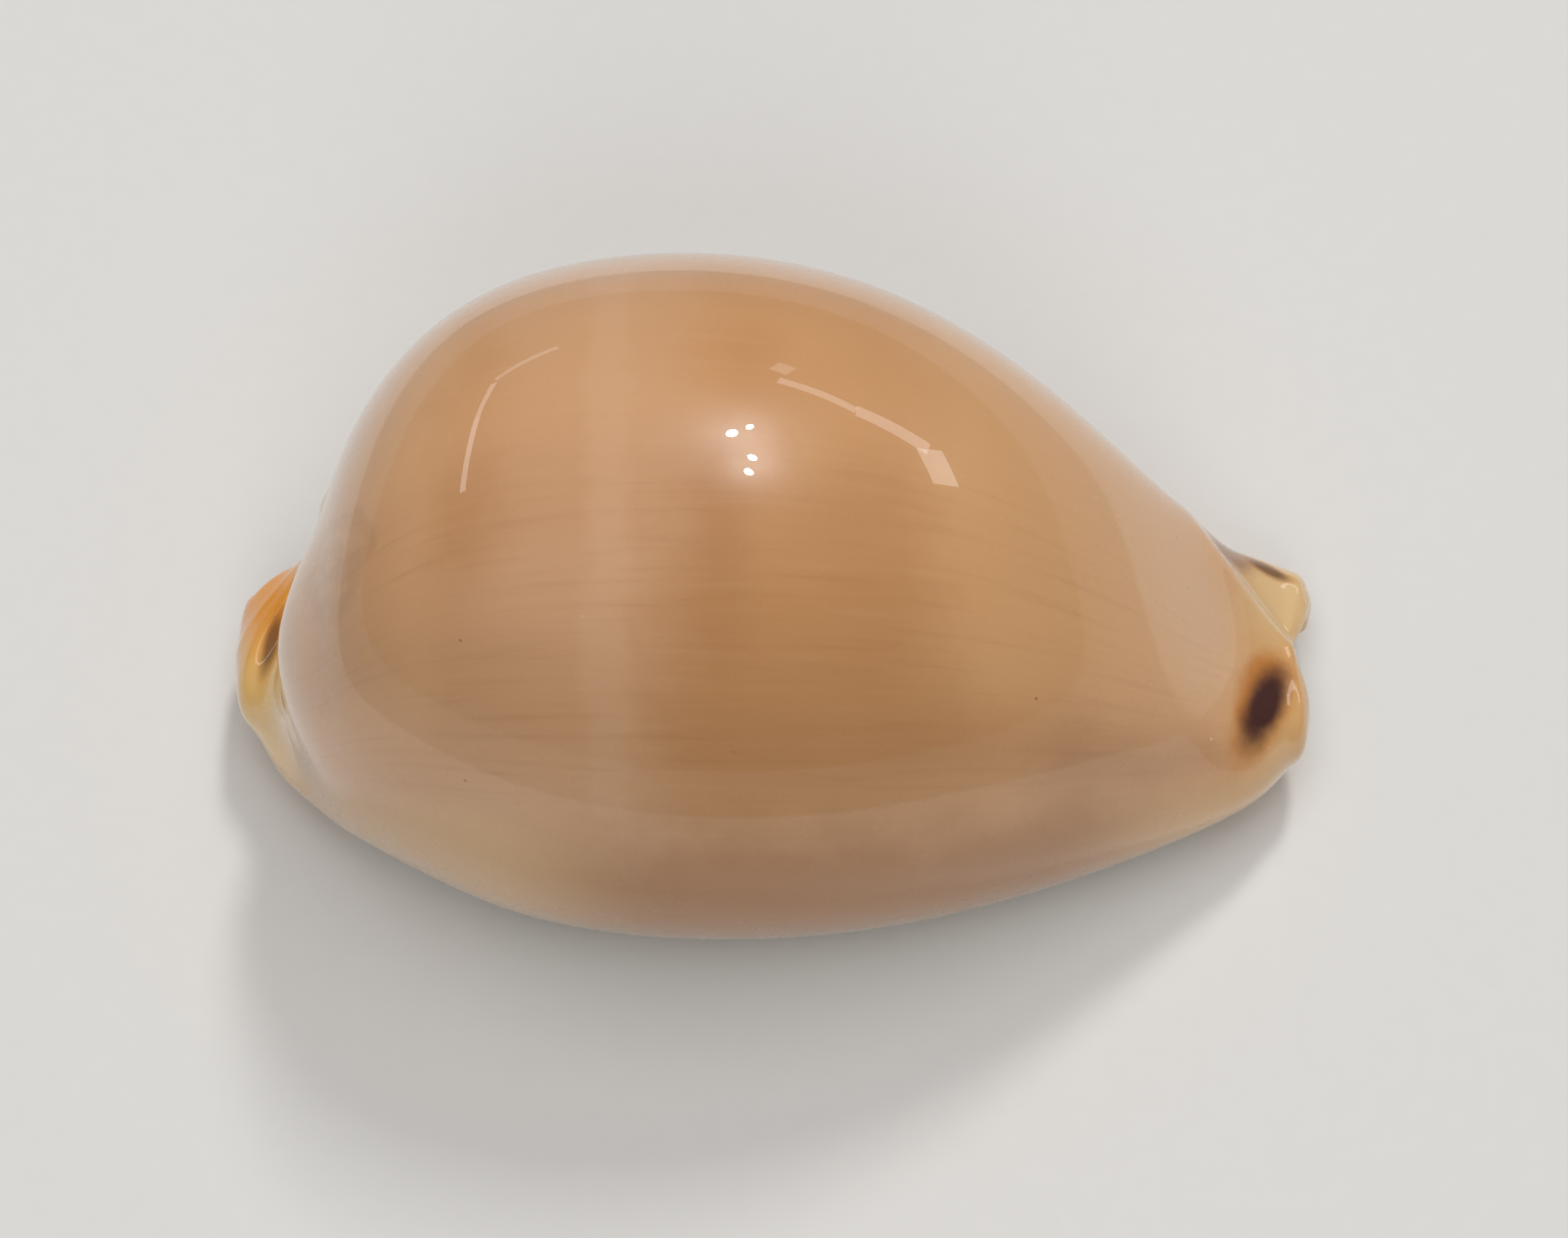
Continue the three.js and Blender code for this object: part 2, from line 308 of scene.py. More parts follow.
@dataclass
class ShellForm:
    """The rolled wall of the shell as a fine grid of points.

    Attributes:
        slit_y: The slit's place at mid length.
        slit_bends: How the slit bends towards the rear and the front.
        slit_half: Half the width of the slit at mid length.
        slit_widens: How half the slit's width grows towards the front and the rear.
        wall: Thickness of the wall over the back.
        lifted: Height, as a share, above which a point of the wall goes along with the ridge.
        margin_hold: How much less a point far from the slit goes along with the ridge in X.
        lean_loss: How much less it does so in Y.
        ridge_up: Height of the ridge's control point, as a share of the rib's height.
        ridge_drop: Inner ridge point below the outer one, in walls.
        end_ridge_up: Outer and inner ridge heights at the two ends.
        cap_near: Half the wall, as a share, on the ring just inside a cap's edge, and how far out that ring lies.
        cap_edge: How far out the cap's edge lies.
        cap_blunt: How much flatter the cap is where the wall is thick.
        rest_depth: How much of the belly is worn flat.
        teeth: Teeth on each lip.
        toothed: Where the teeth start and stop along the shell.
        rows_per_tooth: Rows of the grid for each tooth.
        tooth_fade: Teeth over which each end of a row of teeth dies out.
        end_rows: Rows of the grid at each plain end.
        margin_steps: Steps along the lip when its teeth are spaced.
        back: Where the back starts and stops round the outside, in stations.
        lip_step: Distance between places round the lips.
        back_step: Distance between places round the back.
        swells: The back where it overhangs the rear flange, and the buried spire.
        groove: The front groove.
    """

    slit_y: float = -2.6
    slit_bends: tuple[Ease, Ease] = (Ease(6, -8, -22), Ease(1.6, 6, 22))
    slit_half: float = 1.05
    slit_widens: tuple[Ease, Ease] = (Ease(0.4, 2, 18), Ease(0.15, -14, -21))
    wall: float = 1.0
    lifted: float = 0.1
    margin_hold: float = 0.4
    lean_loss: float = 0.9
    ridge_up: float = 1.085
    ridge_drop: float = -1.3
    end_ridge_up: Pair = (0.92, 0.68)
    cap_near: Pair = (0.86, 0.7)
    cap_edge: float = 0.95
    cap_blunt: float = 0.5
    rest_depth: float = 0.12
    teeth: int = 22
    toothed: Pair = (-18.2, 18.2)
    rows_per_tooth: int = 8
    tooth_fade: float = 1.4
    end_rows: int = 40
    margin_steps: int = 3000
    back: Pair = (3.5, 13.5)
    lip_step: float = 0.125
    back_step: float = 0.1
    swells: tuple[Swell, ...] = (
        Swell((-20.0, -3.8, 9.5), (8.0, 6.5, 8.0), (-1.7, 0.0, -0.2)),
        Swell((-18.0, 2.6, 9.8), (2.4, 2.4, 2.6), (-0.8, 0.0, 0.0)),
    )
    groove: Groove = field(default_factory=Groove)

    def slit(self, x: float) -> Pair:
        """The slit's middle in Y and half its width, at a place along the shell."""
        y = self.slit_y + self.slit_bends[0].at(x) + self.slit_bends[1].at(x)
        return float(y), float(self.slit_half + self.slit_widens[0].at(x) + self.slit_widens[1].at(x))

    def wall_points(self, rib: Rib, side: Side, at: WallStation) -> tuple[list[float], list[float]]:
        """The outer and the inner control point of a rib at one station.

        Args:
            rib: The cross frame.
            side: Which side of the slit.
            at: The station on the half section.

        Returns:
            The outer point and the inner point.
        """
        middle, slit_half = self.slit((rib.lip_x + rib.columella_x) / 2)
        out = side.value
        half = (rib.columella_y - middle) if side is Side.COLUMELLA else (middle - rib.lip_y)
        margin_x = rib.columella_x if side is Side.COLUMELLA else rib.lip_x
        height, width, end = rib.ridge_z - rib.base_z, half - slit_half, rib.end_share
        body_across = slit_half + at.across * width + at.extra
        outer_across = mix(body_across, slit_half + at.end_across * width, end)
        outer_up = mix(at.up, at.end_up, end) * height
        inner_across = mix(body_across + at.in_across * self.wall, at.end_in_slits * slit_half, end)
        inner_up = mix(at.up * height + at.in_up * self.wall, at.end_in_up * height, end)
        raised = float(smooth(self.lifted, 1, at.up))
        x = mix(margin_x, rib.ridge_x, mix(raised * (1 - self.margin_hold * at.across**2), 1 - at.reach, end))
        lean = raised * (rib.ridge_y - middle) * (1 - self.lean_loss * at.across)
        return (
            [x, middle + out * outer_across + lean, rib.base_z + outer_up],
            [x + rib.inset, middle + out * inner_across + lean * (1 - end), rib.base_z + inner_up],
        )

    def ridge_points(self, rib: Rib) -> tuple[list[float], list[float]]:
        """The outer and the inner control point of a rib at the ridge.

        Args:
            rib: The cross frame.

        Returns:
            The outer point and the inner point.
        """
        middle, _ = self.slit((rib.lip_x + rib.columella_x) / 2)
        height, end = rib.ridge_z - rib.base_z, rib.end_share
        y = mix(rib.ridge_y, middle, end)
        outer = mix(self.ridge_up, self.end_ridge_up[0], end) * height
        inner = mix(self.ridge_up * height + self.ridge_drop * self.wall, self.end_ridge_up[1] * height, end)
        return [rib.ridge_x, y, rib.base_z + outer], [rib.ridge_x + rib.inset, y, rib.base_z + inner]

    def ring(self, rib: Rib) -> Array:
        """The closed ring of a rib's control points: over the back from the outer lip, and home inside.

        Args:
            rib: The cross frame.

        Returns:
            The points.
        """
        pairs = [self.wall_points(rib, Side.OUTER_LIP, at) for at in OUTER_LIP]
        pairs.append(self.ridge_points(rib))
        pairs += [self.wall_points(rib, Side.COLUMELLA, at) for at in reversed(COLUMELLA)]
        return np.array([outer for outer, _ in pairs] + [inner for _, inner in reversed(pairs)])

    def cap(self, ring: Array, towards: int) -> list[Array]:
        """Rounds off the wall beyond the last rib.

        Args:
            ring: The last rib's ring.
            towards: 1 at the front end, -1 at the rear.

        Returns:
            The near ring, the edge where both faces meet, and the control ring beyond it.
        """
        middle = (ring + ring[::-1]) / 2
        half_wall = ring - middle
        thick = np.linalg.norm(half_wall, axis=1, keepdims=True)
        along = np.array([[towards, 0, 0]]) * thick / (1 + self.cap_blunt * thick)
        near = middle + self.cap_near[0] * half_wall + self.cap_near[1] * along
        edge = middle + self.cap_edge * along
        return [near, edge, 2 * edge - near]

    def control_rows(self) -> Array:
        """All rings of control points, from behind the rear end to beyond the front one."""
        rings = [self.ring(rib) for rib in RIBS]
        return np.array([*reversed(self.cap(rings[0], -1)), *rings, *self.cap(rings[-1], 1)])

    @staticmethod
    def weights(places: Array, count: int, closed: bool) -> Array:
        """Uniform cubic B-spline weights.

        Args:
            places: Places in spans from the first control point but one.
            count: Number of control points.
            closed: Whether the points run round a ring.

        Returns:
            One row of weights for each place.
        """
        start = np.floor(places).astype(int)
        if not closed:
            start = np.minimum(start, count - 4)
        f = places - start
        blend = np.stack([(1 - f) ** 3, 3 * f**3 - 6 * f**2 + 4, -3 * f**3 + 3 * f**2 + 3 * f + 1, f**3], 1) / 6
        table = np.zeros((len(places), count))
        for step in range(4):
            table[np.arange(len(places)), (start + step) % count] += blend[:, step]
        return table

    def loft(self, rows: Array, along: Array, around: Array) -> Array:
        """Points of the loft.

        Args:
            rows: Rings of control points.
            along: Places along the rows.
            around: Places round the ring.

        Returns:
            A grid of points.
        """
        lengthwise = self.weights(along, len(rows), False)
        crosswise = self.weights(around - 1, RING, True)
        return np.einsum("ti,uj,ijk->tuk", lengthwise, crosswise, rows)

    def shape(self, points: Array) -> Array:
        """Adds the swells and the groove.

        Args:
            points: Points of the loft, in mm.

        Returns:
            The moved points.
        """
        swollen = points + sum(swell.shift(points) for swell in self.swells)
        swollen[..., 2] -= self.groove.fall(swollen)
        return swollen

    def outside_stops(self) -> Array:
        """Where the grid's points lie round the outside, from turn to turn.

        Returns:
            The places, in stations.
        """
        lip = np.arange(-TURN, self.back[0], self.lip_step)
        back = np.arange(*self.back, self.back_step)
        columella = np.arange(self.back[1], OUTSIDE - TURN + self.lip_step / 2, self.lip_step)
        return np.concatenate([lip, back, columella])

    def row_stops(self, rows: Array) -> tuple[Array, Array, Array]:
        """Places along the shell, close enough together to carry the teeth.

        Args:
            rows: Rings of control points.

        Returns:
            The places, each one's tooth phase in turns, and how fully the teeth stand there.
        """
        fine = np.linspace(0, len(rows) - 3, self.margin_steps)
        lip_x = self.loft(rows, fine, np.array([0.5]))[:, 0, 0]
        steps = self.teeth * self.rows_per_tooth
        toothed = np.interp(np.linspace(*self.toothed, steps + 1), lip_x, fine)
        rear = np.linspace(0, toothed[0], self.end_rows, endpoint=False)
        front = np.linspace(toothed[-1], len(rows) - 3, self.end_rows + 1)[1:]
        count = np.arange(steps + 1)
        reach = self.rows_per_tooth * self.tooth_fade
        plain = np.zeros(self.end_rows)
        return (
            np.concatenate([rear, toothed, front]),
            np.concatenate([plain, count / self.rows_per_tooth, plain]),
            np.concatenate([plain, smooth(0, reach, np.minimum(count, steps - count)), plain]),
        )

    def fit(self, grid: Array, low: Vector, high: Vector) -> Array:
        """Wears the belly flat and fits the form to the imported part's box.

        Args:
            grid: Points of the loft.
            low: The box's lowest corner, in metres.
            high: The box's highest corner, in metres.

        Returns:
            The fitted points, in metres.
        """
        grid = grid.copy()
        grid[..., 2] = np.maximum(grid[..., 2], grid[..., 2].min() + self.rest_depth)
        start, stop = grid.min((0, 1)), grid.max((0, 1))
        return np.array(low) + (grid - start) / (stop - start) * (np.array(high) - np.array(low))


# ---------------------------------------------------------------- node trees


@dataclass(frozen=True)
class Value:
    """A number or vector socket that can be used in sums.

    Attributes:
        graph: The tree that the socket is in.
        socket: The socket.
    """

    graph: "Graph"
    socket: bpy.types.NodeSocket

    def _math(self, operation: str, *values: Any) -> "Value":
        """Adds one Math node."""
        return self.graph.node("ShaderNodeMath", {"operation": operation}, dict(enumerate(values)))

    def __add__(self, other: Any) -> "Value":
        """Sum."""
        return self._math("ADD", self, other)

    def __radd__(self, other: Any) -> "Value":
        """Sum with a plain number first."""
        return self._math("ADD", other, self)

    def __sub__(self, other: Any) -> "Value":
        """Difference."""
        return self._math("SUBTRACT", self, other)

    def __rsub__(self, other: Any) -> "Value":
        """Difference from a plain number."""
        return self._math("SUBTRACT", other, self)

    def __mul__(self, other: Any) -> "Value":
        """Product."""
        return self._math("MULTIPLY", self, other)

    def __rmul__(self, other: Any) -> "Value":
        """Product with a plain number first."""
        return self._math("MULTIPLY", other, self)

    def __pow__(self, other: Any) -> "Value":
        """Power."""
        return self._math("POWER", self, other)

    def cosine(self) -> "Value":
        """Cosine of an angle in radians."""
        return self._math("COSINE", self)

    def most(self, other: Any) -> "Value":
        """The larger of this and another."""
        return self._math("MAXIMUM", self, other)

    def size(self) -> "Value":
        """How far the value is from 0."""
        return self._math("ABSOLUTE", self)

    def step(self, low: float, high: float) -> "Value":
        """Eases from 0 to 1.

        Args:
            low: The value that gives 0.
            high: The value that gives 1; it may be the smaller.

        Returns:
            The eased value.
        """
        ends = {"From Min": low, "From Max": high} if low < high else {"From Min": high, "From Max": low}
        eased = self.graph.node(
            "ShaderNodeMapRange",
            {"interpolation_type": "SMOOTHSTEP"},
            {"Value": self, **ends, "To Min": 0.0, "To Max": 1.0},
        )
        return eased if low < high else 1 - eased

    def band(self, middle: float, half: float, soft: float) -> "Value":
        """1 within half of middle, easing to 0 over soft."""
        return (self - middle).size().step(half + soft, half)


class Graph:
    """Adds nodes to a tree."""

    def __init__(self, tree: bpy.types.NodeTree) -> None:
        """Starts on a tree.

        Args:
            tree: A shader or geometry node tree.
        """
        self.tree = tree

    def node(self, kind: str, settings: dict[str, Any], sockets: dict[Any, Any], output: Any = 0) -> Value:
        """Adds any node.

        Args:
            kind: The node's type.
            settings: Its properties, set before its sockets.
            sockets: Values or links of its inputs, by name or number.
            output: The output wanted, by name or number.

        Returns:
            That output.
        """
        made = self.tree.nodes.new(kind)
        for name, value in settings.items():
            setattr(made, name, value)
        for name, value in sockets.items():
            target = made.inputs[name]
            if isinstance(value, Value):
                self.tree.links.new(value.socket, target)
            elif target.type == "RGBA" and len(value) == 3:
                target.default_value = (*value, 1.0)
            else:
                target.default_value = value
        return Value(self, made.outputs[output])

    def attribute(self, name: str) -> Value:
        """A number stored on the mesh."""
        return self.node("ShaderNodeAttribute", {"attribute_name": name}, {}, "Fac")

    def scaled(self, vector: Any, by: Triple) -> Value:
        """A vector times another."""
        return self.node("ShaderNodeVectorMath", {"operation": "MULTIPLY"}, {0: vector, 1: by})

    def place(self) -> Value:
        """The place on the surface, in mm."""
        return self.scaled(self.node("ShaderNodeTexCoord", {}, {}, "Object"), (1 / MM,) * 3)

    def length(self, vector: Value) -> Value:
        """Length of a vector."""
        return self.node("ShaderNodeVectorMath", {"operation": "LENGTH"}, {0: vector}, "Value")

    def part(self, vector: Value, axis: str) -> Value:
        """One part of a vector."""
        return self.node("ShaderNodeSeparateXYZ", {}, {0: vector}, axis)

    def joined(self, x: Any, y: Any, z: Any) -> Value:
        """A vector from three numbers."""
        return self.node("ShaderNodeCombineXYZ", {}, {0: x, 1: y, 2: z})

    def noise(self, vector: Value, scale: float, detail: float, rough: float = 0.5) -> Value:
        """Soft noise between about 0.3 and 0.7, with scale blots to the unit and detail octaves."""
        sockets = {"Vector": vector, "Scale": scale, "Detail": detail, "Roughness": rough}
        return self.node("ShaderNodeTexNoise", {}, sockets, "Fac")

    def dots(self, vector: Value, scale: float, size: float) -> Value:
        """Scattered round specks: 1 inside each."""
        sockets = {"Vector": vector, "Scale": scale, "Randomness": 1.0}
        return self.node("ShaderNodeTexVoronoi", {}, sockets, "Distance").step(size, size * 0.4)

    def blend(self, a: Any, b: Any, share: Any) -> Value:
        """A colour a share of the way from a to b."""
        return self.node("ShaderNodeMix", {"data_type": "RGBA"}, {0: share, 6: a, 7: b}, 2)

    def stored(self, name: str) -> Value:
        """A number stored on the mesh, in a geometry tree."""
        return self.node("GeometryNodeInputNamedAttribute", {"data_type": "FLOAT"}, {"Name": name}, "Attribute")

    def end(self, kind: str, result: Value) -> None:
        """Adds the tree's last node, with the result in its first socket."""
        self.tree.links.new(result.socket, self.tree.nodes.new(kind).inputs[0])


def new_material(name: str) -> tuple[bpy.types.Material, Graph]:
    """An empty node material.

    Args:
        name: Its name.

    Returns:
        The material and its graph.
    """
    material = bpy.data.materials.new(name)
    material.use_nodes = True
    material.node_tree.nodes.clear()
    return material, Graph(material.node_tree)


# ---------------------------------------------------------------- finishes


@dataclass(frozen=True)
class Skin:
    """What the enamel reads at each place of the surface.

    Attributes:
        graph: The material's graph.
        place: The place, in mm.
        x: Its part along the shell.
        y: Its part across the shell.
        z: Its height.
        girth: Its distance round the shell from the ridge, in mm; the outer lip's side is negative.
    """

    graph: Graph
    place: Value
    x: Value
    y: Value
    z: Value
    girth: Value

    @classmethod
    def read(cls, graph: Graph) -> "Skin":
        """Adds the nodes that read the surface.

        Args:
            graph: The material's graph.

        Returns:
            The skin.
        """
        place = graph.place()
        x, y, z = (graph.part(place, axis) for axis in "XYZ")
        return cls(graph, place, x, y, z, graph.attribute("girth"))

    def noise(self, scale: float, detail: float, rough: float = 0.5) -> Value:
        """Soft noise about 0, from about -0.2 to 0.2."""
        return self.graph.noise(self.place, scale, detail, rough) - 0.5


@dataclass(frozen=True)
class Spot:
    """A soft-edged mark in the enamel.

    Attributes:
        at: Its centre, in mm.
        turn: How it is turned, in degrees.
        half: Its half sizes, in mm.
        share: How strong it is, from 0 to 1.
    """

    at: Triple
    turn: Triple
    half: Triple
    share: float = 1.0

    def distance(self, skin: Skin) -> Value:
        """How far out of the mark a place lies: 1 is its nominal edge.

        Args:
            skin: The surface.

        Returns:
            The distance, in half sizes.
        """
        turned = tuple(math.radians(angle) for angle in self.turn)
        local = skin.graph.node(
            "ShaderNodeMapping",
            {"vector_type": "TEXTURE"},
            {"Vector": skin.place, "Location": self.at, "Rotation": turned, "Scale": self.half},
        )
        return skin.graph.length(local)


@dataclass(frozen=True)
class Blotch:
    """A soft patch of the back that is darker or paler.

    Attributes:
        x: Where it starts and ends along the shell, in mm.
        girth: Where it starts and ends round the back, in mm from the ridge.
        soft: How soft its edges are along the shell and round it, in mm.
        tint: Its colour.
        share: How strong it is.
    """

    x: Pair
    girth: Pair
    soft: Pair
    tint: Colour
    share: float

    def mask(self, x: Value, girth: Value) -> Value:
        """How much of the patch shows at a place.

        Args:
            x: Place along the shell, in mm.
            girth: Place round the back, in mm.

        Returns:
            The share, from 0 to the patch's own.
        """
        long = x.band(sum(self.x) / 2, (self.x[1] - self.x[0]) / 2, self.soft[0])
        wide = girth.band(sum(self.girth) / 2, (self.girth[1] - self.girth[0]) / 2, self.soft[1])
        return long * wide * self.share


@dataclass(frozen=True)
class Enamel:
    """Glossy cowrie enamel: a softly banded tan back, pale belly, orange and cream ends with dark spots.

    Two limits say where a thing starts to show and where it shows fully, in mm.

    Attributes:
        tan, light, dark, streak: The back, its pale streaks, its dark clouds, and its dark streaks and spire ring.
        rim_and_shade, butter, cream: The margins' own colour, made darker and more saturated as painted shade for the
            dark reflection along the lower edge; the margins towards both ends; and the front tip beyond the groove.
        belly, inside: The belly and the pale specks, and the hollow.
        orange, yellow: The rear flange on the columella's side and on the outer lip's side.
        spot, halo, bruise: The dark spots, the amber round them, and the bruised patch.
        roughness, wear: Roughness under the gloss, and how much it varies.
        coat_roughness: Roughness of the gloss.
        rim_and_shade_round, belly_round, speck_round: Limits of the margins and their painted shade, the belly and the
        pale specks, round the shell.
        belly_along: Limits of the belly, towards mid length.
        creamy_front, creamy_rear: Limits of the butter tint, towards both ends.
        front_along, front_down: Limits of the front tips, along the shell and down it.
        front_across: Limits of the cream, towards the columella's side.
        flange_along, flange_down: Limits of the rear flange, along the shell and down it.
        flange_across: Limits of its orange, towards the columella's side.
        low_along, low_down: Limits of the undersides of both ends, along the shell and down it.
        inside_limits: Limits of the hollow, in the number stored on the mesh.
        blotches, spots: Soft patches of the back, and the dark spots at both ends.
        amber, whorl, bruised: The amber round the front spot, the spire's ring, and the patch beside the groove.
    """

    tan: Colour = srgb(218, 163, 110)
    light: Colour = srgb(228, 184, 142)
    dark: Colour = srgb(196, 142, 92)
    streak: Colour = srgb(158, 106, 62)
    # The margins: their own orange-brown, made darker and more saturated as painted shade that stands in for the dark
    # reflection of the shadowed floor along the lower edge.
    rim_and_shade: Colour = srgb(170, 106, 20)
    butter: Colour = srgb(226, 178, 116)
    cream: Colour = srgb(238, 204, 150)
    belly: Colour = srgb(240, 226, 204)
    inside: Colour = srgb(222, 208, 202)
    orange: Colour = srgb(240, 158, 50)
    yellow: Colour = srgb(238, 194, 120)
    spot: Colour = srgb(70, 30, 20)
    halo: Colour = srgb(202, 124, 44)
    bruise: Colour = srgb(150, 118, 108)
    roughness: float = 0.28
    wear: float = 0.12
    coat_roughness: float = 0.01
    rim_and_shade_round: Pair = (15, 21)
    belly_round: Pair = (26, 31)
    speck_round: Pair = (20, 14)
    belly_along: Pair = (22, 16)
    creamy_front: Pair = (10.5, 18)
    creamy_rear: Pair = (-4, -12)
    front_along: Pair = (17.5, 20.8)
    front_down: Pair = (8, 5.5)
    front_across: Pair = (-1.5, 1.5)
    flange_along: Pair = (-19, -20.4)
    flange_down: Pair = (8.2, 5.6)
    flange_across: Pair = (-2.4, 1.2)
    low_along: Pair = (17, 21.5)
    low_down: Pair = (3.4, 1.6)
    inside_limits: Pair = (0.35, 0.8)
    blotches: tuple[Blotch, ...] = (
        Blotch((-16.0, 11.0), (-12, -4), (3.0, 4), srgb(192, 136, 84), 0.45),
        Blotch((-16.8, -2.5), (-8.5, -2), (2.5, 3), srgb(178, 120, 72), 0.5),
        Blotch((-12.0, -1.0), (-2, 3), (2.5, 3), srgb(198, 138, 86), 0.3),
        Blotch((11.5, 17.0), (-14, -9), (2.5, 3), srgb(184, 132, 88), 0.4),
        Blotch((-22.0, -14.0), (-12, 12), (3.0, 5), srgb(236, 188, 142), 0.5),
        Blotch((-9.2, -5.4), (-6, 8), (4.2, 6), srgb(226, 180, 140), 0.5),
        Blotch((-11.0, -5.8), (-17, -8), (3.6, 5), srgb(222, 176, 136), 0.5),
        Blotch((-6.6, -6.0), (-16, 8), (0.9, 4), srgb(228, 184, 146), 0.3),
        Blotch((8.0, 18.0), (-9, 8), (4.6, 5), srgb(230, 178, 124), 0.65),
        Blotch((-3.4, 5.2), (-16, -8), (3.6, 4), srgb(198, 142, 90), 0.4),
    )
    spots: tuple[Spot, ...] = (
        Spot((20.0, -3.45, 5.6), (0, 0, 64), (2.4, 0.85, 1.9), 1.0),
        Spot((20.6, 3.35, 4.0), (0, 0, -14), (1.2, 0.3, 0.9), 0.7),
        Spot((-20.75, -0.6, 5.0), (0, 0, 78), (1.5, 0.35, 1.4), 0.7),
        Spot((-19.0, 5.2, 4.4), (0, 0, 60), (0.8, 0.5, 1.1), 0.8),
    )
    amber: Spot = Spot((19.6, -2.9, 5.6), (0, 0, 62), (2.2, 0.9, 2.0), 0.8)
    whorl: Spot = Spot((-16.9, -2.6, 17.0), (0, 0, 0), (2.4, 1.7, 2.4), 0.16)
    bruised: Spot = Spot((18.9, 3.9, 5.2), (0, 0, -20), (1.6, 0.9, 1.0), 0.7)

    def back(self, skin: Skin) -> Value:
        """The colour of the back.

        Args:
            skin: The surface.

        Returns:
            The colour.
        """
        graph = skin.graph
        drift = skin.noise(0.35, 3, 0.6) * 2.2
        clouds = graph.noise(skin.place, 0.13, 2).step(0.36, 0.64)
        tint = graph.blend(self.tan, self.dark, clouds * 0.25)
        along, around = skin.x + drift, skin.girth + drift
        for blotch in self.blotches:
            tint = graph.blend(tint, blotch.tint, blotch.mask(along, around))
        rings = self.whorl.distance(skin) + skin.noise(0.55, 2) * 1.3
        rings = rings.band(1.0, 0.06, 0.22).most(rings.band(0.45, 0.05, 0.2))
        tint = graph.blend(tint, self.streak, rings * self.whorl.share)
        lines = graph.noise(graph.joined(skin.x * 0.06, skin.girth, 0.0), 2.2, 4, 0.6)
        tint = graph.blend(tint, self.streak, lines.step(0.5, 0.75) * skin.girth.band(-9, 5, 6) * 0.16)
        return graph.blend(tint, self.light, lines.step(0.48, 0.28) * 0.1)

    def rims_and_shade(self, skin: Skin, tint: Value) -> Value:
        """Turns the back's colour into the belly's, through soft margins, creamy towards both ends, whose colour is
        partly painted shade.

        Args:
            skin: The surface.
            tint: The colour so far.

        Returns:
            The colour.
        """
        graph = skin.graph
        drift = skin.noise(0.3, 3, 0.6)
        edge = skin.girth.size() + drift * 4
        creamy = skin.x.step(*self.creamy_front).most(skin.x.step(*self.creamy_rear))
        # Painted shade: the margins' colour is darkened to stand in for the dark reflection along the lower edge, and
        # it eases to creamy towards both ends.
        rim_and_shade = graph.blend(self.rim_and_shade, self.butter, creamy)
        tint = graph.blend(tint, rim_and_shade, edge.step(*self.rim_and_shade_round) * (0.8 + creamy * 0.1))
        mid_length = (skin.x.size() + drift * 6).step(*self.belly_along)
        return graph.blend(tint, self.belly, edge.step(*self.belly_round) * mid_length)

    def ends(self, skin: Skin, tint: Value) -> Value:
        """Adds the orange and cream ends, their dark spots and the bruise beside the front groove.

        Args:
            skin: The surface.
            tint: The colour so far.

        Returns:
            The colour.
        """
        graph, x, y, z = skin.graph, skin.x, skin.y, skin.z
        wobble = skin.noise(0.8, 3, 0.6) * 0.5
        tip = graph.blend(self.butter, self.cream, y.step(*self.front_across))
        front = (x + wobble * 2).step(*self.front_along) * z.step(*self.front_down)
        tint = graph.blend(tint, tip, front * 0.85)
        flange = (x + wobble).step(*self.flange_along) * z.step(*self.flange_down)
        warm = graph.blend(self.yellow, self.orange, (y + wobble * 3).step(*self.flange_across))
        tint = graph.blend(tint, warm, flange)
        low = (z + wobble).step(*self.low_down) * (x.size() + wobble * 5).step(*self.low_along)
        tint = graph.blend(tint, self.butter, low)
        tint = graph.blend(tint, self.bruise, self.bruised.distance(skin).step(1.5, 0.6) * self.bruised.share)
        near_spot = self.amber.distance(skin) + wobble
        tint = graph.blend(tint, self.halo, near_spot.step(1.25, 0.6) * self.amber.share)
        for mark in self.spots:
            out = mark.distance(skin) + wobble * 0.9
            tint = graph.blend(tint, self.halo, out.step(1.6, 0.95) * mark.share * 0.5)
            tint = graph.blend(tint, self.spot, out.step(1.3, 0.45) * mark.share)
        return tint

    def specks(self, skin: Skin, tint: Value) -> Value:
        """Adds a few tiny pale and dark specks to the back.

        Args:
            skin: The surface.
            tint: The colour so far.

        Returns:
            The colour.
        """
        graph = skin.graph
        pale = graph.dots(skin.place, 0.33, 0.03) * skin.girth.size().step(*self.speck_round)
        tint = graph.blend(tint, self.belly, pale * 0.6)
        shifted = graph.node("ShaderNodeVectorMath", {"operation": "ADD"}, {0: skin.place, 1: (7.3, 2.1, 4.4)})
        return graph.blend(tint, self.spot, graph.dots(shifted, 0.24, 0.022) * 0.5)

    def make(self) -> bpy.types.Material:
        """Builds the finish.

        Returns:
            The material.
        """
        material, graph = new_material("shell_enamel")
        skin = Skin.read(graph)
        tint = self.rims_and_shade(skin, self.back(skin))
        tint = graph.blend(tint, self.inside, graph.attribute("inside").step(*self.inside_limits))
        tint = self.specks(skin, self.ends(skin, tint))
        shader = graph.node(
            "ShaderNodeBsdfPrincipled",
            {"subsurface_method": "RANDOM_WALK"},
            {
                "Base Color": tint,
                "Roughness": self.roughness + skin.noise(0.5, 3, 0.6) * self.wear,
                "IOR": 1.5,
                "Specular IOR Level": 0.35,
                "Coat Weight": 1.0,
                "Coat Roughness": self.coat_roughness,
                "Coat IOR": 1.6,
                "Subsurface Weight": 0.06,
                "Subsurface Radius": (1.0, 0.6, 0.35),
                "Subsurface Scale": 0.0012,
            },
        )
        graph.end("ShaderNodeOutputMaterial", shader)
        return material


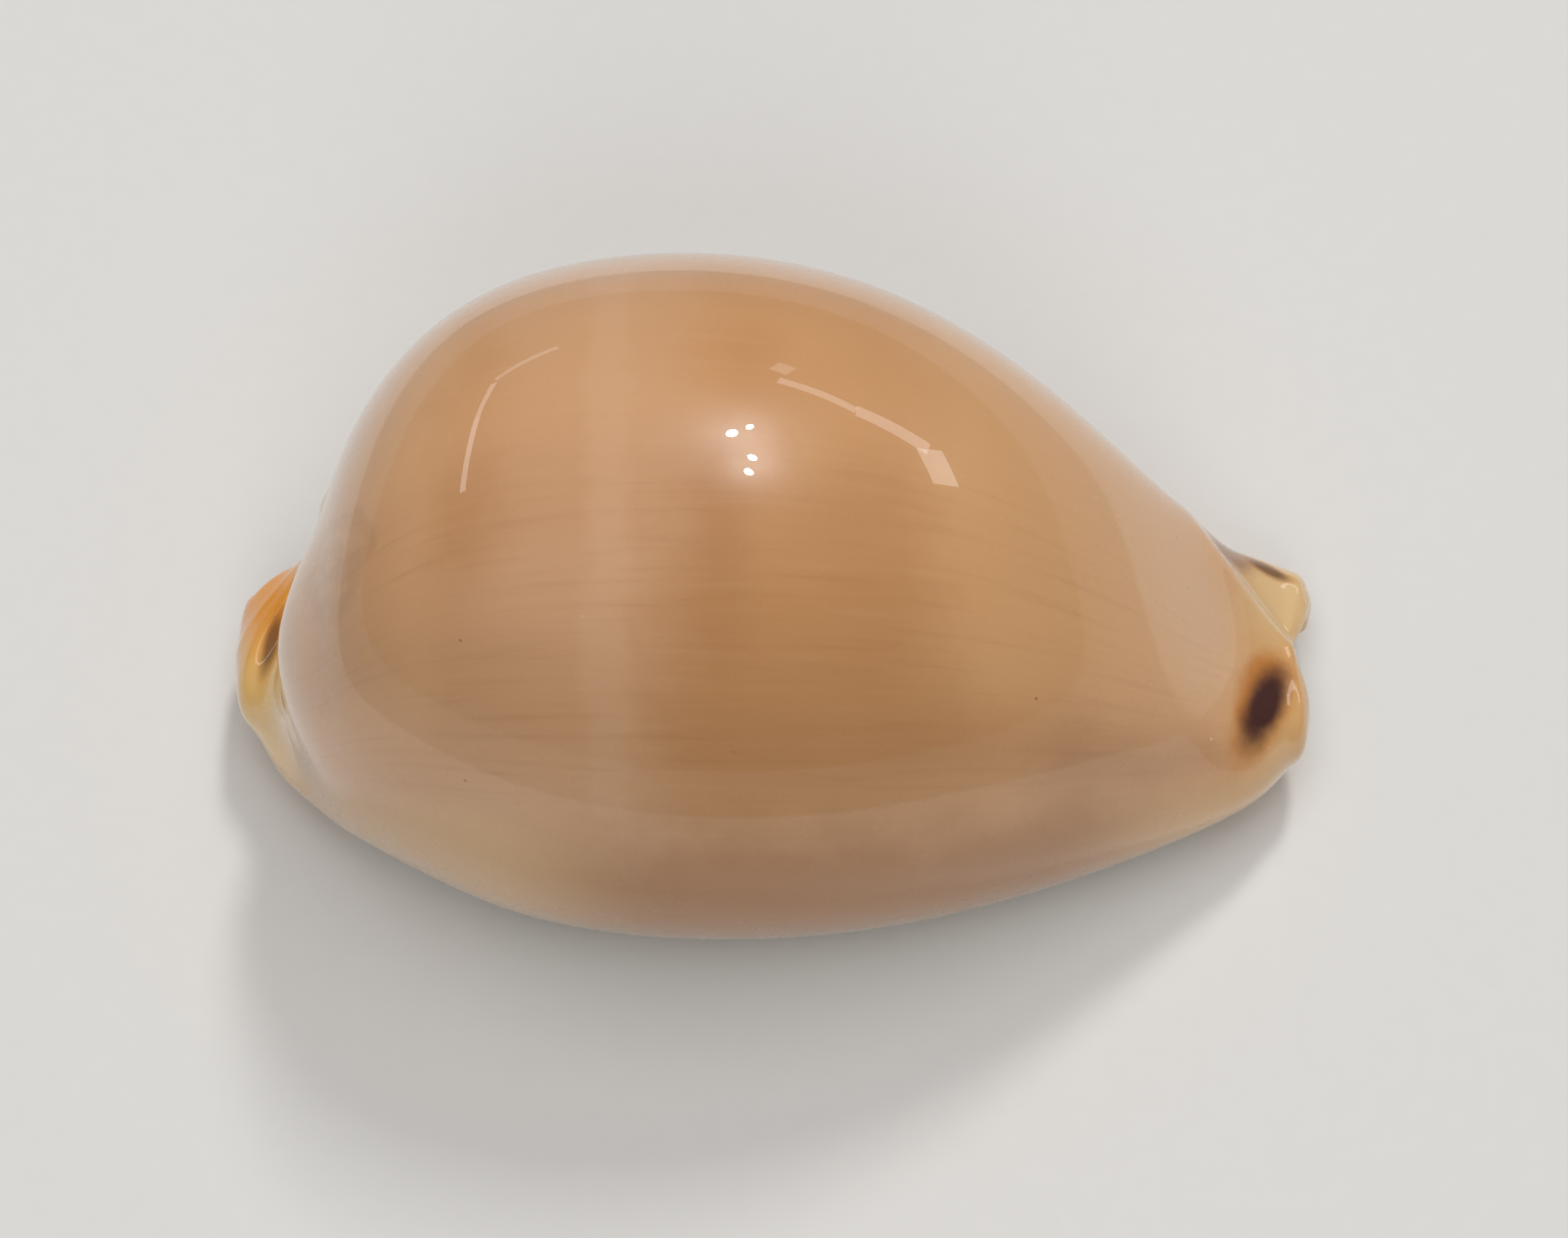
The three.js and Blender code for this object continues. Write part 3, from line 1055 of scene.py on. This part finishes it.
@dataclass(frozen=True)
class Paper:
    """The matt pale sheet that the shell stands on, darker away from it.

    Attributes:
        near: Its colour round the shell.
        far: Its colour farther off.
        fade: Where it starts and stops fading, in mm from the shell's middle.
        roughness: Its roughness.
    """

    near: Colour = (0.8, 0.8, 0.79)
    far: Colour = (0.42, 0.42, 0.42)
    fade: Pair = (57, 61.5)
    roughness: float = 0.9

    def make(self) -> bpy.types.Material:
        """Builds the finish.

        Returns:
            The material.
        """
        material, graph = new_material("pale_paper")
        place = graph.place()
        tint = graph.blend(self.near, self.far, graph.length(place).step(*self.fade))
        tint = graph.blend(tint, (0.0, 0.0, 0.0), graph.noise(place, 0.9, 3) * 0.03)
        shader = graph.node("ShaderNodeBsdfPrincipled", {}, {"Base Color": tint, "Roughness": self.roughness})
        graph.end("ShaderNodeOutputMaterial", shader)
        return material


# ---------------------------------------------------------------- pieces


@dataclass(frozen=True)
class Relief:
    """Geometry Nodes that raise the teeth along both lips and ripple the enamel, and keep the worn belly flat.

    Attributes:
        tooth_height: How far a tooth stands out, in mm.
        sharpness: How narrow each tooth is.
        ripple_height: Height of the ripples, in mm.
        ripple_size: Ripples in each mm along the shell, across it and up it.
        ripple_detail: Octaves of the ripples.
        seed: The ripples' seed.
    """

    tooth_height: float = 0.34
    sharpness: float = 1.6
    ripple_height: float = 0.045
    ripple_size: Triple = (0.1, 0.26, 0.26)
    ripple_detail: float = 0.7
    seed: float = 3.0

    def inputs(self, finish: bpy.types.Material) -> dict[str, tuple[str, Any]]:
        """The tree's named inputs, each with its socket type and value.

        Args:
            finish: The finish that the result takes.

        Returns:
            Socket types and values by name.
        """
        number = "NodeSocketFloat"
        return {
            "Tooth Height": (number, self.tooth_height * MM),
            "Sharpness": (number, self.sharpness),
            "Ripple Height": (number, self.ripple_height * MM),
            "Ripple Size": ("NodeSocketVector", tuple(size / MM for size in self.ripple_size)),
            "Seed": (number, self.seed),
            "Floor": (number, 0.0),
            "Finish": ("NodeSocketMaterial", finish),
        }

    def tree(self, finish: bpy.types.Material) -> bpy.types.NodeTree:
        """Builds the tree.

        Args:
            finish: The finish that the result takes.

        Returns:
            The tree.
        """
        tree = bpy.data.node_groups.new("shell_relief", "GeometryNodeTree")
        tree.interface.new_socket("Geometry", in_out="INPUT", socket_type="NodeSocketGeometry")
        for name, (kind, _) in self.inputs(finish).items():
            tree.interface.new_socket(name, in_out="INPUT", socket_type=kind)
        tree.interface.new_socket("Geometry", in_out="OUTPUT", socket_type="NodeSocketGeometry")
        graph = Graph(tree)
        given = tree.nodes.new("NodeGroupInput")
        inputs = {socket.name: Value(graph, socket) for socket in given.outputs if socket.name}
        where = graph.node("GeometryNodeInputPosition", {}, {})
        wave = (graph.stored("turns") * (2 * math.pi)).cosine() * 0.5 + 0.5
        teeth = wave ** inputs["Sharpness"] * graph.stored("lip") * inputs["Tooth Height"]
        sockets = {"Vector": graph.scaled(where, inputs["Ripple Size"]), "W": inputs["Seed"], "Scale": 1.0}
        sockets["Detail"] = self.ripple_detail
        ripple = graph.node("ShaderNodeTexNoise", {"noise_dimensions": "4D"}, sockets)
        ripples = (ripple - 0.5) * inputs["Ripple Height"] * (1 - graph.stored("inside"))
        normal = graph.node("GeometryNodeInputNormal", {}, {})
        push = graph.node("ShaderNodeVectorMath", {"operation": "SCALE"}, {0: normal, "Scale": teeth + ripples})
        raised = graph.node("GeometryNodeSetPosition", {}, {"Geometry": inputs["Geometry"], "Offset": push})
        x, y, z = (graph.part(where, axis) for axis in "XYZ")
        worn = graph.node(
            "GeometryNodeSetPosition", {}, {"Geometry": raised, "Position": graph.joined(x, y, z.most(inputs["Floor"]))}
        )
        rounded = graph.node("GeometryNodeSetShadeSmooth", {}, {"Geometry": worn, "Shade Smooth": True})
        real = graph.node("GeometryNodeRealizeInstances", {}, {"Geometry": rounded})
        dressed = graph.node("GeometryNodeSetMaterial", {}, {"Geometry": real, "Material": inputs["Finish"]})
        graph.end("NodeGroupOutput", dressed)
        return tree

    def apply(self, piece: bpy.types.Object, finish: bpy.types.Material) -> None:
        """Runs the tree on a piece and makes the result its plain mesh.

        Args:
            piece: The piece.
            finish: The finish that it takes.
        """
        modifier = piece.modifiers.new("relief", "NODES")
        modifier.node_group = self.tree(finish)
        values = self.inputs(finish)
        for item in modifier.node_group.interface.items_tree:
            if item.in_out == "INPUT" and item.name in values:
                modifier[item.identifier] = values[item.name][1]
        graph = bpy.context.evaluated_depsgraph_get()
        mesh = bpy.data.meshes.new_from_object(piece.evaluated_get(graph), depsgraph=graph)
        piece.modifiers.remove(modifier)
        piece.data = mesh


@dataclass
class Shell:
    """The shell: its fine mesh, its teeth and its enamel.

    Attributes:
        form: The shell's form.
        relief: Its teeth and ripples.
        finish: Its enamel.
        lip_reach: Half the widths of the two toothed strips, in stations round the ring.
        lip_at: Where their middles lie: from the outer lip's first station, and back from the columella's end.
        lip_full: How far in from its edge a strip's teeth reach their full height, as a share.
        inner_limits: Where the inside starts and is whole: past one turn, and back from the other.
        girth_steps: Steps round the outside when its girth is measured.
    """

    form: ShellForm = field(default_factory=ShellForm)
    relief: Relief = field(default_factory=Relief)
    finish: Enamel = field(default_factory=Enamel)
    lip_reach: Pair = (1.35, 1.485)
    lip_at: Pair = (0.85, 4.1)
    lip_full: float = 0.7
    inner_limits: tuple[Pair, Pair] = ((-1.2, 0.4), (-0.2, -1.8))
    girth_steps: int = 800

    def faces(self, rows: int, stops: int) -> tuple[list[tuple[int, ...]], Array]:
        """Faces of the closed grid, with the two faces of the wall sharing their edge at each end.

        Args:
            rows: Rows of the grid.
            stops: Places round the ring.

        Returns:
            The faces, and the points that they leave unused as a mask of those kept.
        """
        ids = np.arange(rows * stops).reshape(rows, stops)
        half = stops // 2
        for row in (0, rows - 1):
            ids[row, half + 1 :] = ids[row, 1:half][::-1]
        a, b = ids[:-1], ids[1:]
        corners = np.stack([a, b, np.roll(b, -1, 1), np.roll(a, -1, 1)], -1).reshape(-1, 4)
        kept = np.zeros(rows * stops, bool)
        kept[np.unique(corners)] = True
        new = np.cumsum(kept) - 1
        return [tuple(int(v) for v in face) for face in new[corners]], kept

    def girth(self, rows: Array, around: Array) -> Array:
        """Distance round the outside from the ridge at mid length, in mm, signed like Y.

        Args:
            rows: Rings of control points.
            around: Places round the outside.

        Returns:
            The distances.
        """
        fine = np.linspace(-TURN, OUTSIDE - TURN, self.girth_steps)
        middle = self.form.loft(rows, np.array([len(rows) / 2 - 1.5]), fine)[0]
        run = np.concatenate([[0], np.cumsum(np.linalg.norm(np.diff(middle, axis=0), axis=1))])
        return np.interp(around, fine, run) - np.interp(RIDGE_AT, fine, run)

    def mesh(self) -> bpy.types.Object:
        """Makes the plain shell, with the numbers that its teeth and its finish read.

        Returns:
            The mesh object.
        """
        rows = self.form.control_rows()
        outside = self.form.outside_stops()
        around = np.concatenate([outside, RING - 2 * TURN - outside[-2:0:-1]])
        along, turns, stand = self.form.row_stops(rows)
        grid = self.form.fit(self.form.shape(self.form.loft(rows, along, around)), *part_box(NODE))
        faces, kept = self.faces(*grid.shape[:2])
        mesh = bpy.data.meshes.new(NODE)
        mesh.from_pydata(grid.reshape(-1, 3)[kept].tolist(), [], faces)
        folded = np.where(around > OUTSIDE - TURN, RING - 2 * TURN - around, around)
        middles = (self.lip_at[0], OUTSIDE - self.lip_at[1])
        strips = [1 - np.abs(folded - middle) / reach for middle, reach in zip(middles, self.lip_reach)]
        strip = smooth(0, self.lip_full, np.maximum(*strips)) * (around <= OUTSIDE - TURN)
        past, back = self.inner_limits
        inner = smooth(OUTSIDE + past[0], OUTSIDE + past[1], around) * smooth(RING + back[0], RING + back[1], around)
        numbers = {
            "turns": np.broadcast_to(turns[:, None], grid.shape[:2]),
            "lip": stand[:, None] * strip[None, :],
            "girth": np.broadcast_to(self.girth(rows, folded)[None, :], grid.shape[:2]),
            "inside": np.broadcast_to(inner[None, :], grid.shape[:2]),
        }
        for name, values in numbers.items():
            stored = mesh.attributes.new(name, "FLOAT", "POINT")
            stored.data.foreach_set("value", values.reshape(-1)[kept].astype(np.float32))
        mesh.validate()
        return put("shell_body", mesh)

    def build(self) -> bpy.types.Object:
        """Builds, dresses and seats the shell.

        Returns:
            The finished piece.
        """
        piece = self.mesh()
        self.relief.apply(piece, self.finish.make())
        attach(piece, "root")
        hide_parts(NODE)
        log.info("shell: %d faces", len(piece.data.polygons))
        return piece


# ---------------------------------------------------------------- studio


def direction(azimuth: float, elevation: float) -> Vector:
    """The unit vector from the shell to a place seen at two angles, in degrees."""
    a, e = math.radians(azimuth), math.radians(elevation)
    return Vector((math.sin(a) * math.cos(e), -math.cos(a) * math.cos(e), math.sin(e)))


class Role(Enum):
    """What a lamp is for."""

    LIGHT = "lights the scene, but the gloss doesn't show it"
    STRIP = "a straight-sided glint, seen in the gloss only"
    BULB = "a round glint, seen in the gloss only"


@dataclass(frozen=True)
class Lamp:
    """A flat lamp that faces the shell.

    Azimuth 0 is the outer lip's side and 90 the front end. Elevation is from the floor. Both are in degrees.

    Attributes:
        name: Its name.
        start: Azimuth and elevation of one end.
        end: Azimuth and elevation of the other end.
        breadth: Its size across its length, in metres.
        glow: Its brightness.
        role: What it is for.
        tint: Its colour.
        distance: How far off it is, in metres.
    """

    name: str
    start: Pair
    end: Pair
    breadth: float
    glow: float
    role: Role = Role.STRIP
    tint: Colour = (1.0, 1.0, 1.0)
    distance: float = 1.4

    def hang(self, aim: Vector) -> None:
        """Sets the lamp up.

        Args:
            aim: The point that it faces.
        """
        ends = [aim + direction(*angles) * self.distance for angles in (self.start, self.end)]
        middle = (ends[0] + ends[1]) / 2
        away = (middle - aim).normalized()
        across = (ends[1] - ends[0]) - away * away.dot(ends[1] - ends[0])
        light = bpy.data.lights.new(self.name, "AREA")
        light.shape = "ELLIPSE" if self.role is Role.BULB else "RECTANGLE"
        light.size, light.size_y = across.length, self.breadth
        light.energy = self.glow * math.pi * light.size * light.size_y
        light.color = self.tint
        held = put(self.name, light)
        across.normalize()
        turn = Matrix((across, away.cross(across), away)).transposed().to_4x4()
        held.matrix_world = Matrix.Translation(middle) @ turn
        held.visible_glossy = self.role is not Role.LIGHT
        held.visible_diffuse = self.role is Role.LIGHT


@dataclass
class Studio:
    """Floor, lamps, fill light and camera.

    Attributes:
        lamps: The lamps.
        fill: Strength of the even fill light.
        fill_tint: Its colour.
        floor: The floor's finish.
        floor_half: Half its width, in metres.
        floor_gap: How far it lies under the shell, in metres.
        azimuth: The camera's side, in degrees.
        elevation: The camera's height, in degrees.
        distance: From the camera to the shell's middle, in metres.
        lens: The camera's focal length, in mm.
        film: The width of its picture, in mm.
        sight: The nearest and the farthest that it sees, in metres.
        shift: The camera's move across and up its own picture, in mm.
    """

    lamps: tuple[Lamp, ...] = (
        Lamp("key_softbox", (158, 52), (170, 52), 0.3, 38.0, Role.LIGHT, (1.0, 0.97, 0.93)),
        Lamp("top_softbox", (-90, 65), (90, 65), 1.1, 2.0, Role.LIGHT, (1.0, 0.98, 0.96)),
        Lamp("front_softbox", (-18, 40), (18, 40), 0.7, 2.1, Role.LIGHT, (1.0, 0.98, 0.95)),
        Lamp("left_strip_low", (-107, 47), (-134, 35), 0.05, 2.6),
        Lamp("left_strip_bend", (-134, 35), (-145, 28), 0.045, 2.0),
        Lamp("left_strip_high", (-146, 27), (-162, 27), 0.04, 1.3),
        Lamp("right_strip_start", (157, 37), (153, 37), 0.1, 1.3),
        Lamp("right_strip_far", (153, 42), (134, 37), 0.06, 2.0),
        Lamp("right_strip_bend", (134, 37), (120, 26), 0.09, 2.2),
        Lamp("right_strip_near", (120, 26), (111, 26), 0.15, 2.4),
        Lamp("bulb_1", (149.5, 63.7), (145.5, 63.7), 0.062, 260.0, Role.BULB),
        Lamp("bulb_2", (146.2, 60), (143.7, 60), 0.042, 260.0, Role.BULB),
        Lamp("bulb_3", (133, 66.2), (128.4, 66.2), 0.038, 260.0, Role.BULB),
        Lamp("bulb_4", (125.5, 69.2), (120, 69.2), 0.038, 260.0, Role.BULB),
    )
    fill: float = 0.14
    fill_tint: Colour = (0.92, 0.95, 1.0)
    floor: Paper = field(default_factory=Paper)
    floor_half: float = 2.5
    floor_gap: float = 0.00002
    azimuth: float = 0.0
    elevation: float = 66.0
    distance: float = 0.19
    lens: float = 108.9
    film: float = 36.0
    sight: Pair = (0.01, 10.0)
    shift: Pair = (0.34, -2.08)

    def lay_floor(self) -> None:
        """A plain pale floor under the shell."""
        half = self.floor_half
        mesh = bpy.data.meshes.new("floor")
        mesh.from_pydata([(-half, -half, 0), (half, -half, 0), (half, half, 0), (-half, half, 0)], [], [(0, 1, 2, 3)])
        mesh.materials.append(self.floor.make())
        floor = put("floor", mesh)
        floor.location.z = -self.floor_gap
        floor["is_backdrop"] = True

    def set_fill(self) -> None:
        """Even light from all round."""
        world = bpy.data.worlds.new("studio")
        world.use_nodes = True
        background = world.node_tree.nodes["Background"]
        background.inputs["Color"].default_value = (*self.fill_tint, 1.0)
        background.inputs["Strength"].default_value = self.fill
        bpy.context.scene.world = world

    def place_camera(self, aim: Vector) -> None:
        """Sets the camera.

        Args:
            aim: The shell's middle.
        """
        camera = put("camera", bpy.data.cameras.new("camera"))
        camera.data.lens, camera.data.sensor_width = self.lens, self.film
        camera.data.clip_start, camera.data.clip_end = self.sight
        away = direction(self.azimuth, self.elevation)
        turn = away.to_track_quat("Z", "Y")
        across, up = turn @ Vector((1, 0, 0)), turn @ Vector((0, 1, 0))
        camera.location = aim + away * self.distance + (across * self.shift[0] + up * self.shift[1]) * MM
        camera.rotation_euler = turn.to_euler()
        bpy.context.scene.camera = camera

    def build(self) -> None:
        """Sets up everything round the shell."""
        low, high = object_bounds()
        aim = (low + high) / 2
        self.lay_floor()
        for lamp in self.lamps:
            lamp.hang(aim)
        self.set_fill()
        self.place_camera(aim)
        bpy.context.scene.view_settings.view_transform = "Standard"
        log.info("studio: %d lamps", len(self.lamps))


def main() -> None:
    """Builds the shell and the studio."""
    logging.basicConfig(level=logging.INFO, format="%(name)s %(message)s")
    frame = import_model()
    log.info("frame: %s", ", ".join(sorted(frame)))
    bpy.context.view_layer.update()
    Shell().build()
    Studio().build()


if __name__ == "__main__":
    main()
